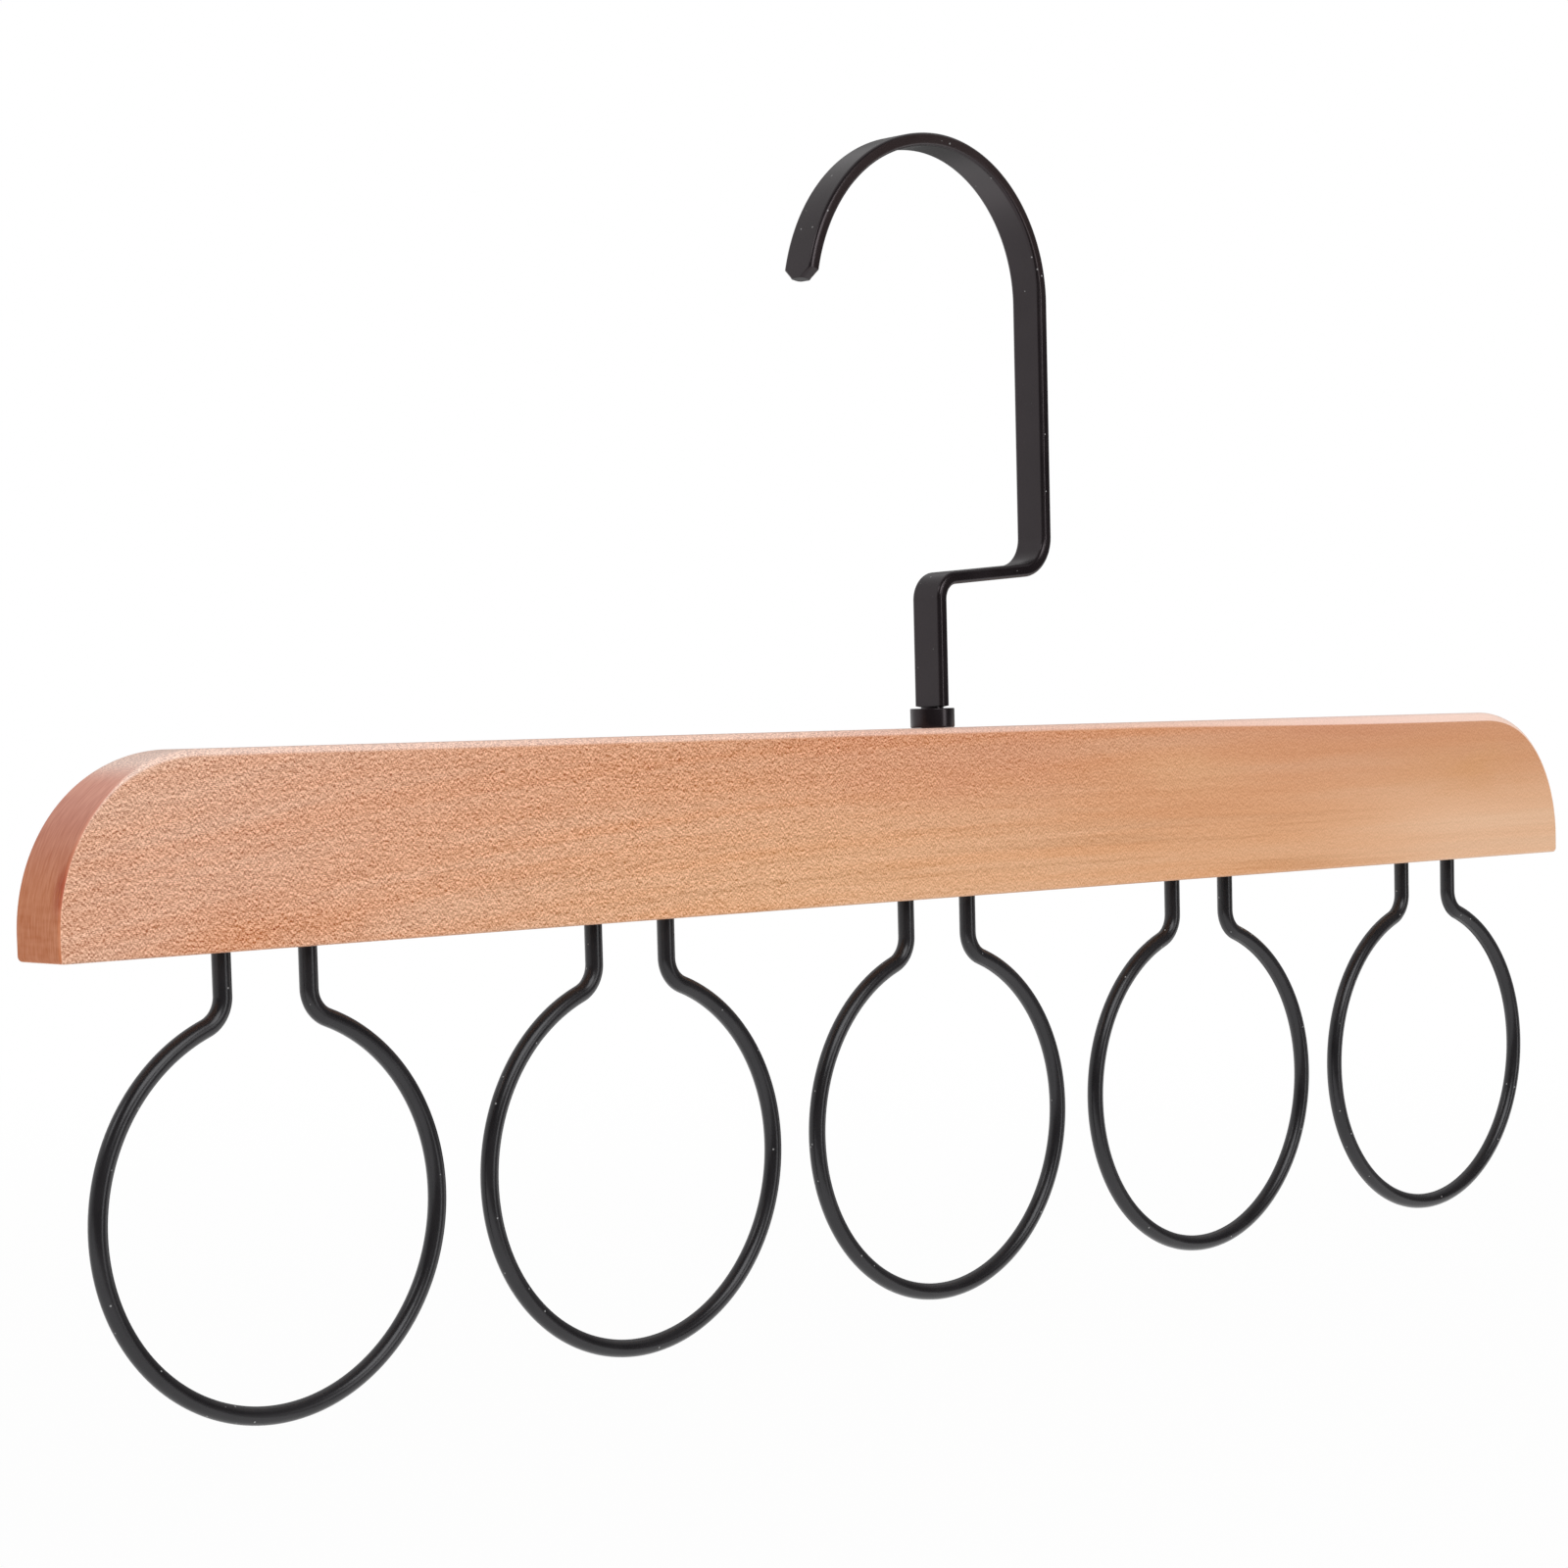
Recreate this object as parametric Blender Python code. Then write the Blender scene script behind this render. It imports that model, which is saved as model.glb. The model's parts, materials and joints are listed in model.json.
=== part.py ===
"""A tie and belt hanger: a wooden bar with five wire rings below it and a swivel hook above it.

Units are metres and +Z is up. The bar runs along X and its front face looks along -Y. The
origin is the point under the hook's crown that rests on a rail, straight above the swivel.
"""

import math

import bmesh
import bpy
from mathutils import Matrix, Vector

# Wooden bar
BAR_LENGTH = 0.400
BAR_HEIGHT = 0.0328
BAR_THICKNESS = 0.013
BAR_END_RUN = 0.0275
BAR_END_STAND = 0.004
BAR_FOOT_RADIUS = 0.001
BAR_TOP_EDGE_RADIUS = 0.002
BAR_SIDE_EDGE_RADIUS = 0.0006
# The power by which the edge radius grows on the way up each end, late for a high one
EDGE_GROWTH = 8

# Wire rings, as large as the bar's length leaves room for between these gaps
RING_COUNT = 5
RING_GAP = 0.0082
RING_END_GAP = 0.0071
WIRE_DIAMETER = 0.0032
LEG_SPACING = 0.0171
LEG_DROP = 0.0074
LEG_EMBED = 0.012
NECK_BEND_RADIUS = 0.0055

# Hook of flattened rod, its radii and heights taken to the middle of the strip. The crown
# bends more tightly from the leg to its top than from there to the tip.
STRIP_WIDTH = 0.0075
STRIP_THICKNESS = 0.0025
STRIP_EDGE_RADIUS = 0.0006
CROWN_LEG_RADIUS = 0.029
CROWN_TIP_RADIUS = 0.034
CROWN_SWEEP = math.radians(170.5)
LONG_LEG_HEIGHT = 0.0523
LONG_LEG_BEND_RADIUS = 0.0068
ARM_OFFSET = 0.0301
ARM_RISE = math.radians(4.5)
STEM_BEND_RADIUS = 0.0043
STEM_HEIGHT = 0.0238
TIP_CLIP_LENGTH = 0.0018
TIP_CLIP_WIDTH = 0.0021
TIP_ROUND = 0.0004

# Round spigot below the strip, with its peened head
SPIGOT_DIAMETER = 0.0044
SHOULDER_HEIGHT = 0.0008
NECK_HEIGHT = 0.0011
HEAD_DIAMETER = 0.0058
HEAD_HEIGHT = 0.0014
HEAD_EDGE_RADIUS = 0.0004

# Collar on the bar, and the insert and washer inside it
COLLAR_DIAMETER = 0.0086
COLLAR_HEIGHT = 0.0035
COLLAR_FOOT_RADIUS = 0.0008
COLLAR_TOP_RADIUS = 0.0002
INSERT_WALL = 0.001
INSERT_LENGTH = 0.012
INSERT_CHAMFER = 0.0003
WASHER_DIAMETER = 0.0064
WASHER_THICKNESS = 0.001

# Clearances
SEAT_GAP = 0.0003
TURNING_CLEARANCE = 0.0003
HOLE_CLEARANCE = 0.0003
END_SPACE = 0.001
CUT_OVERRUN = 0.002

# Smoothness, as numbers of straight pieces
EDGE_STEPS = 4
FOOT_STEPS = 4
END_STEPS = 18
RING_STEPS = 24
NECK_STEPS = 6
WIRE_RESOLUTION = 4
CORNER_STEPS = 4
BEND_STEPS = 9
CROWN_STEPS = 18
TURNED_STEPS = 32
SMOOTH_ANGLE = math.radians(35)

QUARTER = math.pi / 2

# The crown's two arcs meet at its top, and one of them rests on the rail above the swivel
crown_x = ARM_OFFSET - CROWN_LEG_RADIUS
rail_arc_radius = CROWN_TIP_RADIUS if crown_x > 0 else CROWN_LEG_RADIUS
rail_inner_radius = rail_arc_radius - STRIP_THICKNESS / 2
crown_top_z = rail_arc_radius - math.sqrt(rail_inner_radius**2 - crown_x**2)
leg_arc_z = crown_top_z - CROWN_LEG_RADIUS

# Levels, worked out from the rail down
arm_end_z = leg_arc_z - LONG_LEG_HEIGHT
arm_start_z = arm_end_z - ARM_OFFSET * math.tan(ARM_RISE)
foot_z = arm_start_z - STEM_HEIGHT
collar_top_z = foot_z - NECK_HEIGHT
collar_z = collar_top_z - COLLAR_HEIGHT
bar_top_z = collar_z - SEAT_GAP
bar_z = bar_top_z - BAR_HEIGHT
insert_z = bar_top_z - INSERT_LENGTH
washer_z = insert_z - SEAT_GAP - WASHER_THICKNESS
head_top_z = washer_z - SEAT_GAP
head_z = head_top_z - HEAD_HEIGHT

# The rings share the bar's length, each with its radius taken to the middle of the wire
ring_room = BAR_LENGTH - 2 * RING_END_GAP - (RING_COUNT - 1) * RING_GAP
ring_diameter = ring_room / RING_COUNT
ring_radius = (ring_diameter - WIRE_DIAMETER) / 2
ring_pitch = ring_diameter + RING_GAP

# Fits shared by the pieces round the spigot
spigot_radius = SPIGOT_DIAMETER / 2
bore_radius = spigot_radius + TURNING_CLEARANCE
insert_radius = bore_radius + INSERT_WALL
insert_hole_radius = insert_radius + HOLE_CLEARANCE
leg_hole_radius = WIRE_DIAMETER / 2 + HOLE_CLEARANCE


def clear_scene():
    for obj in list(bpy.data.objects):
        bpy.data.objects.remove(obj, do_unlink=True)


def material(name, colour, roughness, metallic):
    made = bpy.data.materials.new(name)
    made.use_nodes = True
    shader = made.node_tree.nodes["Principled BSDF"]
    shader.inputs["Base Color"].default_value = (*colour, 1)
    shader.inputs["Roughness"].default_value = roughness
    shader.inputs["Metallic"].default_value = metallic
    return made


def mesh_from(name, points, faces):
    """A mesh with its faces turned outwards and its round stretches shaded smooth."""
    mesh = bpy.data.meshes.new(name)
    mesh.from_pydata(points, [], faces)
    work = bmesh.new()
    work.from_mesh(mesh)
    bmesh.ops.recalc_face_normals(work, faces=work.faces)
    work.to_mesh(mesh)
    work.free()
    mesh.shade_smooth()
    mesh.set_sharp_from_angle(angle=SMOOTH_ANGLE)
    return mesh


def add_object(name, data, look, x, z, parent=None):
    """An object with its origin at the world place (x, 0, z), carried by its parent."""
    obj = bpy.data.objects.new(name, data)
    bpy.context.scene.collection.objects.link(obj)
    obj.location = Vector((x, 0, z))
    if parent:
        obj.parent = parent
        obj.location -= parent.location
    if look:
        data.materials.append(look)
    return obj


def arc(centre, radius, start, end, steps):
    """Points round an arc in the XZ plane, both ends included."""
    points = []
    for step in range(steps + 1):
        angle = start + (end - start) * step / steps
        x = centre[0] + radius * math.cos(angle)
        z = centre[1] + radius * math.sin(angle)
        points.append((x, z))
    return points


def loft(loops, ring_of_loops=False):
    """Quads between loops of equal count, with a cap on each end unless the last meets the first."""
    count = len(loops[0])
    points = [point for loop in loops for point in loop]
    spans = len(loops) if ring_of_loops else len(loops) - 1
    faces = []
    for span in range(spans):
        near = span * count
        far = (span + 1) % len(loops) * count
        for i in range(count):
            j = (i + 1) % count
            faces.append((near + i, near + j, far + j, far + i))
    if not ring_of_loops:
        last = spans * count
        faces.append(tuple(range(count)))
        faces.append(tuple(range(last, last + count)))
    return points, faces


def turned(profile):
    """A closed profile of (radius, height) points turned once round Z."""
    loops = []
    for step in range(TURNED_STEPS):
        angle = 4 * QUARTER * step / TURNED_STEPS
        loops.append([(r * math.cos(angle), r * math.sin(angle), z) for r, z in profile])
    return loft(loops, ring_of_loops=True)


def bar_end_outline():
    """The right half of the bar's side view, upwards, as place, outward normal and edge radius."""
    outline = []
    foot_centre = Vector((BAR_LENGTH / 2 - BAR_FOOT_RADIUS, BAR_FOOT_RADIUS))
    for step in range(FOOT_STEPS + 1):
        angle = QUARTER * (step / FOOT_STEPS - 1)
        normal = Vector((math.cos(angle), math.sin(angle)))
        outline.append((foot_centre + normal * BAR_FOOT_RADIUS, normal, BAR_SIDE_EDGE_RADIUS))
    rise = BAR_HEIGHT - BAR_END_STAND
    end_centre = Vector((BAR_LENGTH / 2 - BAR_END_RUN, BAR_END_STAND))
    extra_radius = BAR_TOP_EDGE_RADIUS - BAR_SIDE_EDGE_RADIUS
    for step in range(END_STEPS + 1):
        angle = QUARTER * step / END_STEPS
        place = Vector((BAR_END_RUN * math.cos(angle), rise * math.sin(angle)))
        normal = Vector((rise * math.cos(angle), BAR_END_RUN * math.sin(angle))).normalized()
        edge_radius = BAR_SIDE_EDGE_RADIUS + extra_radius * math.sin(angle) ** EDGE_GROWTH
        outline.append((end_centre + place, normal, edge_radius))
    return outline


def bar_mesh():
    """The bar's outline lofted through its thickness, with edges that round off towards the top."""
    right = bar_end_outline()
    flip = Vector((-1, 1))
    left = [(place * flip, normal * flip, radius) for place, normal, radius in reversed(right)]
    outline = right + left
    loops = []
    for side in (-1, 1):
        steps = range(EDGE_STEPS + 1) if side < 0 else range(EDGE_STEPS, -1, -1)
        for step in steps:
            angle = QUARTER * step / EDGE_STEPS
            loop = []
            for place, normal, radius in outline:
                x, z = place - normal * radius * (1 - math.sin(angle))
                y = side * (BAR_THICKNESS / 2 - radius * (1 - math.cos(angle)))
                loop.append((x, y, z))
            loops.append(loop)
    return mesh_from("bar_shape", *loft(loops))


def drill_mesh():
    """The blind holes of the bar as one set of cylinders: two for each ring and one for the insert."""
    work = bmesh.new()
    holes = []
    for x in ring_places():
        for side in (-1, 1):
            leg_x = x + side * LEG_SPACING / 2
            holes.append((leg_x, leg_hole_radius, -CUT_OVERRUN, LEG_EMBED + SEAT_GAP))
    insert_hole_floor = head_z - END_SPACE - bar_z
    holes.append((0, insert_hole_radius, insert_hole_floor, BAR_HEIGHT + CUT_OVERRUN))
    for x, radius, low, high in holes:
        made = bmesh.ops.create_cone(
            work,
            cap_ends=True,
            segments=TURNED_STEPS,
            radius1=radius,
            radius2=radius,
            depth=high - low,
        )
        bmesh.ops.translate(work, verts=made["verts"], vec=(x, 0, (low + high) / 2))
    mesh = bpy.data.meshes.new("drill_shape")
    work.to_mesh(mesh)
    work.free()
    return mesh


def ring_places():
    middle = (RING_COUNT - 1) / 2
    return [(number - middle) * ring_pitch for number in range(RING_COUNT)]


def half_ring_route():
    """The right half of a ring's wire, from its top inside the bar to the lowest point of the ring.

    The leg runs straight down, a reverse bend turns it outwards, and the bend meets the ring
    where the two circles touch, on the line between their centres.
    """
    leg_x = LEG_SPACING / 2
    bend_centre = Vector((leg_x + NECK_BEND_RADIUS, -LEG_DROP))
    centre_distance = ring_radius + NECK_BEND_RADIUS
    ring_centre = Vector((0, -LEG_DROP - math.sqrt(centre_distance**2 - bend_centre.x**2)))
    reach = bend_centre - ring_centre
    meeting = math.atan2(reach.y, reach.x)
    bend = arc(bend_centre, NECK_BEND_RADIUS, 2 * QUARTER, 2 * QUARTER + meeting, NECK_STEPS)
    round_part = arc(ring_centre, ring_radius, meeting, -QUARTER, RING_STEPS)
    return [(leg_x, LEG_EMBED)] + bend + round_part[1:]


def ring_curve():
    """One length of round wire, bent to a ring with two legs."""
    right = half_ring_route()
    route = [(-x, z) for x, z in right] + right[-2::-1]
    curve = bpy.data.curves.new("ring_shape", "CURVE")
    curve.dimensions = "3D"
    curve.bevel_depth = WIRE_DIAMETER / 2
    curve.bevel_resolution = WIRE_RESOLUTION
    curve.use_fill_caps = True
    spline = curve.splines.new("POLY")
    spline.points.add(len(route) - 1)
    for point, (x, z) in zip(spline.points, route):
        point.co = (x, 0, z, 1)
    spline.use_smooth = True
    return curve


def bend(corner, before, after, radius, steps):
    """Places and directions round the bend that joins two straight runs meeting at a corner."""
    turn = before.angle_signed(after)
    inner_side = Vector((-before.y, before.x)) * -math.copysign(1, turn)
    start = corner - before * radius * math.tan(abs(turn) / 2)
    centre = start + inner_side * radius
    stations = []
    for step in range(steps + 1):
        rotation = Matrix.Rotation(-turn * step / steps, 2)
        stations.append((centre - rotation @ inner_side * radius, rotation @ before))
    return stations


def hook_stations():
    """Places along the rod from its peened end to its tip: point, direction and cross-section.

    A cross-section is half its width, half its thickness and its corner radius, and where
    these three are alike it is round.
    """
    up = Vector((0, 1))
    strip = (STRIP_WIDTH / 2, STRIP_THICKNESS / 2, STRIP_EDGE_RADIUS)
    spigot = (spigot_radius,) * 3
    head = (HEAD_DIAMETER / 2,) * 3
    head_face = (HEAD_DIAMETER / 2 - HEAD_EDGE_RADIUS,) * 3
    stations = [
        (Vector((0, head_z)), up, head_face),
        (Vector((0, head_z + HEAD_EDGE_RADIUS)), up, head),
        (Vector((0, head_top_z)), up, head),
        (Vector((0, head_top_z)), up, spigot),
        (Vector((0, foot_z - SHOULDER_HEIGHT)), up, spigot),
        (Vector((0, foot_z)), up, strip),
    ]

    # The stem, the arm that rises a little as it goes out, and the long leg
    along_arm = Vector((math.cos(ARM_RISE), math.sin(ARM_RISE)))
    arm_start = Vector((0, arm_start_z))
    arm_end = Vector((ARM_OFFSET, arm_end_z))
    route = bend(arm_start, up, along_arm, STEM_BEND_RADIUS, BEND_STEPS)
    route += bend(arm_end, along_arm, up, LONG_LEG_BEND_RADIUS, BEND_STEPS)

    # The crown, then the tip, where the strip's corners are clipped and slightly rounded
    clip_start = CROWN_SWEEP - TIP_CLIP_LENGTH / CROWN_TIP_RADIUS
    round_start = CROWN_SWEEP - TIP_ROUND / CROWN_TIP_RADIUS
    to_top = [QUARTER * step / CROWN_STEPS for step in range(CROWN_STEPS + 1)]
    tip_step = (clip_start - QUARTER) / CROWN_STEPS
    to_clip = [QUARTER + tip_step * step for step in range(1, CROWN_STEPS + 1)]
    for angle in to_top + to_clip + [round_start, CROWN_SWEEP]:
        radius = CROWN_LEG_RADIUS if angle <= QUARTER else CROWN_TIP_RADIUS
        centre = Vector((crown_x, crown_top_z - radius))
        outward = Vector((math.cos(angle), math.sin(angle)))
        route.append((centre + outward * radius, Vector((-outward.y, outward.x))))

    half_width, half_thickness, corner = strip
    clipped = (half_width - TIP_CLIP_WIDTH + TIP_ROUND, half_thickness, corner)
    tip = (half_width - TIP_CLIP_WIDTH, half_thickness, corner)
    sections = [strip] * (len(route) - 2) + [clipped, tip]
    for (place, direction), section in zip(route, sections):
        stations.append((place, direction, section))
    return stations


def hook_mesh():
    """The rod's cross-section lofted along its bends, from round spigot to flat strip."""
    loops = []
    for place, direction, (half_width, half_thickness, corner) in hook_stations():
        side = Vector((direction.y, -direction.x))
        loop = []
        for quadrant in range(4):
            across = 1 if quadrant in (0, 3) else -1
            through = 1 if quadrant in (0, 1) else -1
            for step in range(CORNER_STEPS):
                angle = QUARTER * (quadrant + (step + 0.5) / CORNER_STEPS)
                y = across * (half_width - corner) + corner * math.cos(angle)
                depth = through * (half_thickness - corner) + corner * math.sin(angle)
                x, z = place + side * depth
                loop.append((x, y, z))
        loops.append(loop)
    return mesh_from("hook_shape", *loft(loops))


def collar_mesh():
    """A short turned collar, its lower edge well rounded and its upper edge just eased."""
    radius = COLLAR_DIAMETER / 2
    foot = (radius - COLLAR_FOOT_RADIUS, COLLAR_FOOT_RADIUS)
    top = (radius - COLLAR_TOP_RADIUS, COLLAR_HEIGHT - COLLAR_TOP_RADIUS)
    profile = [(bore_radius, 0)]
    profile += arc(foot, COLLAR_FOOT_RADIUS, -QUARTER, 0, EDGE_STEPS)
    profile += arc(top, COLLAR_TOP_RADIUS, 0, QUARTER, EDGE_STEPS)
    profile += [(bore_radius, COLLAR_HEIGHT)]
    return mesh_from("collar_shape", *turned(profile))


def insert_mesh():
    """A plain hollow barrel with both outer edges chamfered."""
    profile = [
        (bore_radius, 0),
        (insert_radius - INSERT_CHAMFER, 0),
        (insert_radius, INSERT_CHAMFER),
        (insert_radius, INSERT_LENGTH - INSERT_CHAMFER),
        (insert_radius - INSERT_CHAMFER, INSERT_LENGTH),
        (bore_radius, INSERT_LENGTH),
    ]
    return mesh_from("insert_shape", *turned(profile))


def washer_mesh():
    radius = WASHER_DIAMETER / 2
    profile = [
        (bore_radius, 0),
        (radius, 0),
        (radius, WASHER_THICKNESS),
        (bore_radius, WASHER_THICKNESS),
    ]
    return mesh_from("washer_shape", *turned(profile))


def build():
    clear_scene()
    wood = material("pink_tan_wood", (0.65, 0.36, 0.22), 0.55, 0.0)
    black = material("satin_black_steel", (0.028, 0.025, 0.027), 0.42, 0.0)
    steel = material("plain_steel", (0.55, 0.55, 0.56), 0.35, 1.0)

    hook = add_object("hook", hook_mesh(), black, 0, 0)
    add_object("retaining_washer", washer_mesh(), steel, 0, washer_z, hook)

    # Everything below turns together under the hook
    swivel = add_object("swivel_axis", None, None, 0, collar_top_z)
    add_object("swivel_collar", collar_mesh(), black, 0, collar_z, swivel)
    add_object("threaded_insert", insert_mesh(), steel, 0, insert_z, swivel)
    bar = add_object("wooden_bar", bar_mesh(), wood, 0, bar_z, swivel)
    drill = add_object("drill", drill_mesh(), None, 0, bar_z, swivel)
    drill.hide_render = True
    drill.display_type = "WIRE"
    holes = bar.modifiers.new("holes", "BOOLEAN")
    holes.operation = "DIFFERENCE"
    holes.object = drill

    wire = ring_curve()
    wire.materials.append(black)
    for number, x in enumerate(ring_places(), start=1):
        add_object(f"ring_{number}", wire, None, x, bar_z, swivel)


build()
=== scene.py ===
# %% [markdown]
# # A tie and belt hanger
# This hanger is a flat wooden bar with five wire rings standing in its underside and a flat
# steel hook that swivels on top. The lesson dresses a packed engineering model of it: each
# visible piece is built again with fine, smooth surfaces, and gets a finish made of nodes.
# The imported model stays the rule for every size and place, so the frame is loaded first, and
# most sizes below are read off its pieces.

import json
import math

import bmesh
import bpy
from mathutils import Matrix, Vector

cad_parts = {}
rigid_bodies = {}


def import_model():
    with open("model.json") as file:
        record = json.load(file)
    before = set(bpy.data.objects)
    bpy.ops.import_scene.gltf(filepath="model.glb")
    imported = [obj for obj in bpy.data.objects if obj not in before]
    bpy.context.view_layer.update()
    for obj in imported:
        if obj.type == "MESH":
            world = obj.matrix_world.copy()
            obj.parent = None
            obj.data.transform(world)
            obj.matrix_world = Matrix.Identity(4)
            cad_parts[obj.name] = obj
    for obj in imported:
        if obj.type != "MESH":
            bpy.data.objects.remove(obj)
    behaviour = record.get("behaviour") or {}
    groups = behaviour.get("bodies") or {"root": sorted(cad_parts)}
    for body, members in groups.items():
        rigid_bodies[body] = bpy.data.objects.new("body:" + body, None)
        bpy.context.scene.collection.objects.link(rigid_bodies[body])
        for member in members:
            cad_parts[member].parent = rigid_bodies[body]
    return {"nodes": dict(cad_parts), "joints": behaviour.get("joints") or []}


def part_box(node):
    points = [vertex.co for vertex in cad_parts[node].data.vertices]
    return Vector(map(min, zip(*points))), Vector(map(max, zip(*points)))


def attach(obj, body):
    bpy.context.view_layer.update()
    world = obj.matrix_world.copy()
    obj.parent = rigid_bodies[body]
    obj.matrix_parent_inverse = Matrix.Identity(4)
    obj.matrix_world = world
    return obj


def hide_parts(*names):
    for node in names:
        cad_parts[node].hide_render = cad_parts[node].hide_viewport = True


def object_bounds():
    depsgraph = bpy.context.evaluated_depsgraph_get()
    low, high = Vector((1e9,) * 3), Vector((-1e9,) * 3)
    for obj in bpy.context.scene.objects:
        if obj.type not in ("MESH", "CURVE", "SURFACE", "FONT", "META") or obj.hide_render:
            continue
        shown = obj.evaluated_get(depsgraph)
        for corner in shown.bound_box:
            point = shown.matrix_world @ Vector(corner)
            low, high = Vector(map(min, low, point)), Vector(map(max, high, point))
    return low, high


for leftover in list(bpy.data.objects):
    bpy.data.objects.remove(leftover, do_unlink=True)

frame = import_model()
cad_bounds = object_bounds()
MM = 0.001
QUARTER = math.pi / 2
FULL_TURN = 4 * QUARTER

bar_low, bar_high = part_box("wooden_bar")
hook_low, hook_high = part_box("hook")
collar_low, collar_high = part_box("swivel_collar")
swivel = Vector(frame["joints"][0]["pos_m"])
_, bar_thickness, bar_height = bar_high - bar_low
print("bar, in millimetres:", [round(size / MM, 2) for size in bar_high - bar_low])

# %% [markdown]
# ## The camera
# A photograph fixes its own viewpoint: where the parallel edges of the bar run together, how
# fast the rings shrink, and how round each one looks all depend on where the camera stood.
# The view here is a long lens close in front of the left half of the bar, turned 43 degrees
# to the right and tipped down a little. The lens is shifted upwards rather than tilted more,
# which keeps upright edges nearly upright. Shift is used because tilting would make the hook
# lean.

# %% Camera
IMAGE_PIXELS = 1600
FOCAL_PIXELS = 3529
PRINCIPAL_ROW = 1000.3
SENSOR = 36
HEADING = math.radians(42.98)
PITCH = math.radians(-4.263)
ROLL = math.radians(-1.458)
CAMERA_LEFT = 481.8 * MM
CAMERA_FRONT = 472.8 * MM
CAMERA_ABOVE_UNDERSIDE = 34.6 * MM

camera = bpy.data.objects.new("camera", bpy.data.cameras.new("camera"))
bpy.context.scene.collection.objects.link(camera)
bpy.context.scene.camera = camera
camera.data.sensor_width = SENSOR
camera.data.lens = FOCAL_PIXELS / IMAGE_PIXELS * SENSOR
camera.data.shift_y = (PRINCIPAL_ROW - IMAGE_PIXELS / 2) / IMAGE_PIXELS

level = math.cos(PITCH)
forward = Vector((math.sin(HEADING) * level, math.cos(HEADING) * level, math.sin(PITCH)))
level_right = forward.cross(Vector((0, 0, 1))).normalized()
right = Matrix.Rotation(-ROLL, 3, forward) @ level_right
up = right.cross(forward)
camera.matrix_world = Matrix((right, up, -forward)).transposed().to_4x4()
camera.location = (-CAMERA_LEFT, -CAMERA_FRONT, bar_low.z + CAMERA_ABOVE_UNDERSIDE)
print("lens", round(camera.data.lens, 1), "mm, shift", round(camera.data.shift_y, 3))

# %% [markdown]
# ## A small language for shader maths
# A procedural finish is a sum: a base colour, times the grain, plus a few specks. Built by
# hand, each plus or times is a node to add and wire. The small class below wraps a socket, so
# that the sum can be written as a sum: `1 - mask` or `noise * depth` adds its Math nodes by
# itself. Every other node comes from one method, which sets the node's settings first and
# then its sockets, because some sockets only exist once the setting is made.

# %% Sockets that can be added and multiplied
# A Mix node has a set of sockets for each kind of data, told apart only by number
MIX_SHARE, MIX_FIRST, MIX_SECOND, MIX_RESULT = 0, 6, 7, 2
NOISE_MIDDLE = 0.5


class Finish:
    """The nodes of one material, or of the world."""

    def __init__(self, owner):
        owner.use_nodes = True
        self.owner = owner
        self.nodes = owner.node_tree.nodes
        self.links = owner.node_tree.links
        self.nodes.clear()

    def node(self, kind, settings=None, sockets=None, output=0):
        """Adds a node, makes its settings, fills its sockets and gives one of its outputs."""
        made = self.nodes.new("ShaderNode" + kind)
        for name, value in (settings or {}).items():
            setattr(made, name, value)
        for key, value in (sockets or {}).items():
            if isinstance(value, Signal):
                self.links.new(value.socket, made.inputs[key])
            else:
                made.inputs[key].default_value = value
        if not made.outputs:
            return made
        return Signal(self, made.outputs[output])

    def place(self, size=(1, 1, 1), turn=(0, 0, 0), at=None, output="Object"):
        """Places on the object, counted in features of this size, in metres, and turned."""
        raw = at or self.node("TexCoord", output=output)
        settings = {"vector_type": "TEXTURE"}
        return self.node("Mapping", settings, {"Vector": raw, "Rotation": turn, "Scale": size})

    def axes(self, vector):
        """The three parts of a vector."""
        return [self.node("SeparateXYZ", None, {"Vector": vector}, axis) for axis in "XYZ"]

    def noise(self, size, turn=(0, 0, 0), at=None, detail=2.0):
        """Cloudy values from 0 to 1, about one cloud to each size."""
        sockets = {"Vector": self.place(size, turn, at), "Scale": 1, "Detail": detail}
        return self.node("TexNoise", None, sockets, "Fac")

    def specks(self, spacing, radius_share, kept_share):
        """1 inside sparse round specks and 0 elsewhere. Only a share of the cells keep theirs."""
        cells = {"Vector": self.place((spacing,) * 3), "Scale": 1}
        near = self.node("TexVoronoi", None, cells, "Distance")
        chance = self.node("TexVoronoi", None, cells, "Color")
        lottery = self.node("SeparateXYZ", None, {"Vector": chance}, "X")
        inside = near.smooth(radius_share, radius_share / 2)
        return inside * lottery.maths("LESS_THAN", kept_share)

    def blend(self, share, first, second):
        """The first colour at share 0 and the second at share 1."""
        sockets = {MIX_SHARE: share, MIX_FIRST: first, MIX_SECOND: second}
        return self.node("Mix", {"data_type": "RGBA"}, sockets, MIX_RESULT)

    def shade(self, colour, strength):
        """The colour made lighter or darker by a factor."""
        start = colour if isinstance(colour, Signal) else colour[:3]
        settings = {"operation": "SCALE"}
        return self.node("VectorMath", settings, {0: start, "Scale": strength})

    def tint(self, colour, light, strength):
        """The colour with coloured light added, or taken away where the strength is below 0."""
        start = colour if isinstance(colour, Signal) else colour[:3]
        settings = {"operation": "MULTIPLY_ADD"}
        amount = self.node("CombineXYZ", None, {axis: strength for axis in "XYZ"})
        return self.node("VectorMath", settings, {0: amount, 1: light, 2: start})

    def bump(self, height, depth):
        """A normal tilted by a height that runs from 0 to 1 over this depth in metres."""
        return self.node("Bump", None, {"Height": height, "Distance": depth}, "Normal")

    def principled(self, sockets):
        """The finish's one shader, wired to the material's output."""
        shader = self.node("BsdfPrincipled", None, sockets, "BSDF")
        self.node("OutputMaterial", None, {"Surface": shader})
        return self.owner


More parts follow.
